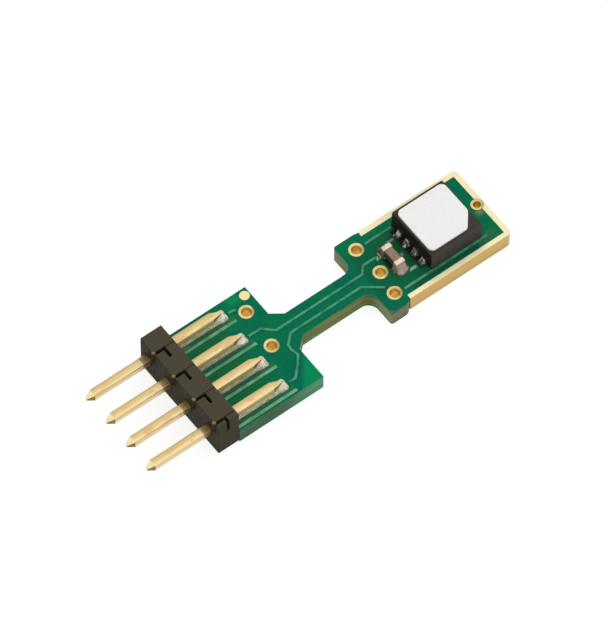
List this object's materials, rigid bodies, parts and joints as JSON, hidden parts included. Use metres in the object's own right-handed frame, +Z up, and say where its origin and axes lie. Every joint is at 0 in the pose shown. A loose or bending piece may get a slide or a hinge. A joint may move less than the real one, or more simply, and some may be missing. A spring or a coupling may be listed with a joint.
{
  "type": "temperature and humidity sensor module",
  "caption": "Small dog-bone circuit board with a straight pin header at one end and a gold-edged sensor head with a membrane-covered sensor at the other.",
  "frame": {"origin": "under the middle of the whole module, at the height of the board's underside", "axes": "+X from the pin tips to the sensor head, +Y across the board, +Z up out of the face that carries the sensor"},
  "size_m": [0.0174, 0.005, 0.002],
  "materials": {
    "green_lacquer": "satin green solder-resist lacquer",
    "green_track": "satin lacquer over copper",
    "gold": "thin gold plating, satin",
    "black_plastic": "moulded, fine grain",
    "solder": "tin solder, softly shining",
    "moulding": "matte moulding compound",
    "membrane": "matte white filter membrane",
    "ceramic": "fired, dull",
    "tin": "tin plating, satin",
    "silicon": "polished"
  },
  "bodies": {
    "root": {"alignment_mark": "gold", "capacitor_body": "ceramic", "capacitor_end_1": "tin", "capacitor_end_2": "tin", "capacitor_solder_1": "solder", "capacitor_solder_2": "solder", "circuit_board": "green_lacquer", "copper_strip_1": "green_track", "copper_strip_2": "green_track", "copper_strip_3": "green_track", "copper_strip_4": "green_track", "edge_plating": "gold", "end_via": "gold", "filter_membrane": "membrane", "head_via_1": "gold", "head_via_2": "gold", "head_via_3": "gold", "header_housing": "black_plastic", "header_pin_1": "gold", "header_pin_2": "gold", "header_pin_3": "gold", "header_pin_4": "gold", "header_via_1": "gold", "header_via_2": "gold", "pin_pad_1": "gold", "pin_pad_2": "gold", "pin_pad_3": "gold", "pin_pad_4": "gold", "pin_solder_1": "solder", "pin_solder_2": "solder", "pin_solder_3": "solder", "pin_solder_4": "solder", "sensor_die": "silicon", "sensor_die_pad": "tin", "sensor_package": "moulding", "sensor_solder_1": "solder", "sensor_solder_2": "solder", "sensor_solder_3": "solder", "sensor_solder_4": "solder", "sensor_solder_5": "solder", "sensor_solder_6": "solder", "sensor_solder_7": "solder", "sensor_solder_8": "solder", "sensor_terminal_1": "tin", "sensor_terminal_2": "tin", "sensor_terminal_3": "tin", "sensor_terminal_4": "tin", "sensor_terminal_5": "tin", "sensor_terminal_6": "tin", "sensor_terminal_7": "tin", "sensor_terminal_8": "tin", "track_clock": "green_track", "track_data": "green_track", "track_sensor_ground": "green_track", "track_sensor_supply": "green_track", "track_supply": "green_track"}
  },
  "joints": []
}
